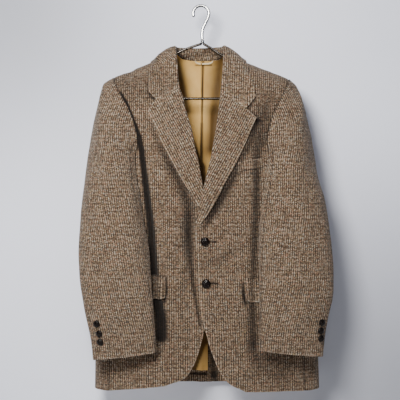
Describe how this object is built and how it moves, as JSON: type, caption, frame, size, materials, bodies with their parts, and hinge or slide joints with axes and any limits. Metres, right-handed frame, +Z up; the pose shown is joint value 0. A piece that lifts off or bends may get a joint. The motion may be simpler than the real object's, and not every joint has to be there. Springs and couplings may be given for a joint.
{
  "type": "tweed hacking jacket on a wire hanger",
  "caption": "Single-breasted tweed hacking jacket with notch lapels, flap pockets and a centre vent, hanging open at neck, hem and cuffs on a bent-wire hanger.",
  "frame": {"origin": "inside top of the hanger's hook, where a rail or wall hook carries it", "axes": "+Z up, -Y is the jacket's front, +X is the wearer's left"},
  "size_m": [0.5748, 0.1914, 0.8992],
  "materials": {
    "tweed": "matt woollen tweed",
    "tweed_collar": "matt woollen tweed, turned over",
    "lining": "satin viscose lining",
    "loop_tape": "ribbed cotton tape",
    "button_leather": "polished knotted leather",
    "hanger_chrome": "polished"
  },
  "bodies": {
    "root": {"back_left": "tweed", "back_right": "tweed", "breast_welt": "tweed", "collar": "tweed_collar", "cuff_button_left_1": "button_leather", "cuff_button_left_2": "button_leather", "cuff_button_left_3": "button_leather", "cuff_button_right_1": "button_leather", "cuff_button_right_2": "button_leather", "cuff_button_right_3": "button_leather", "flap_left": "tweed", "flap_right": "tweed", "front_button_1": "button_leather", "front_button_2": "button_leather", "front_left": "tweed", "front_right": "tweed", "hanger_ferrule": "hanger_chrome", "hanger_frame": "hanger_chrome", "hanger_hook": "hanger_chrome", "hanging_loop": "loop_tape", "lapel_left": "tweed_collar", "lapel_right": "tweed_collar", "lining_back_left": "lining", "lining_back_right": "lining", "side_left": "tweed", "side_right": "tweed", "top_sleeve_left": "tweed", "top_sleeve_right": "tweed", "under_sleeve_left": "tweed", "under_sleeve_right": "tweed"}
  },
  "joints": []
}
